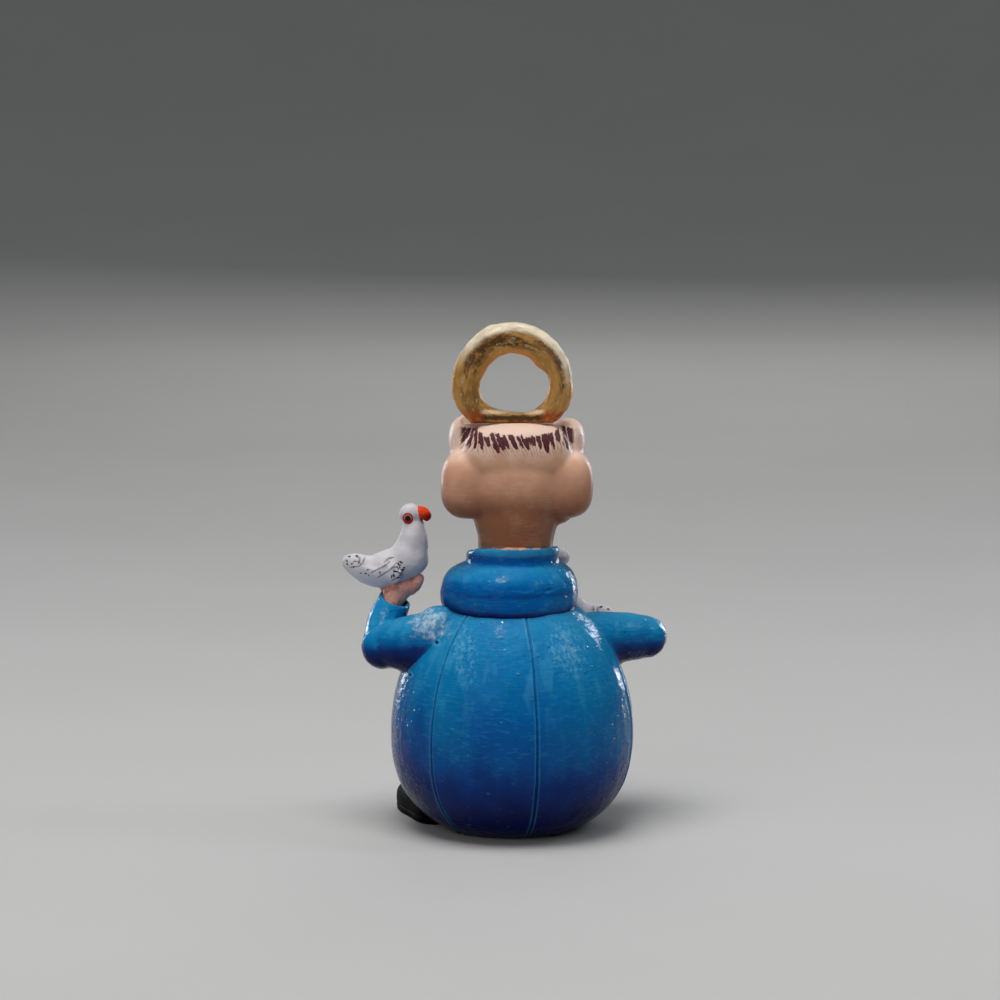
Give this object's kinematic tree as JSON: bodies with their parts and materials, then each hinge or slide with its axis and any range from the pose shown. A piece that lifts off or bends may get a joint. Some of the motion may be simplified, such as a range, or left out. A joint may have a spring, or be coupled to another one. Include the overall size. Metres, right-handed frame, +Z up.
{
  "type": "terracotta saint figurine",
  "caption": "Painted terracotta saint in a round blue coat with scored seams, gold ring halo and white doves on the left hand and at the chest.",
  "frame": {"origin": "middle of the coat's flat underside, on the surface it stands on", "axes": "+Z up through the coat; the figure faces -Y; its left hand, with the dove, is on +X"},
  "size_m": [0.0653, 0.049, 0.1016],
  "materials": {
    "figure": "terracotta brushed with glossy blue enamel; face, neck and hands pale skin colour, shoes near black",
    "halo": "rolled clay ring with brushed metallic gold paint, worn brown in patches",
    "dove_on_hand": "satin white paint with dark feather strokes, orange-red beak and ringed eyes",
    "dove_at_chest": "satin white paint with dark feather strokes, orange-red beak and ringed eyes"
  },
  "bodies": {
    "root": {"figure": "figure", "halo": "halo", "dove_on_hand": "dove_on_hand", "dove_at_chest": "dove_at_chest"}
  },
  "joints": []
}
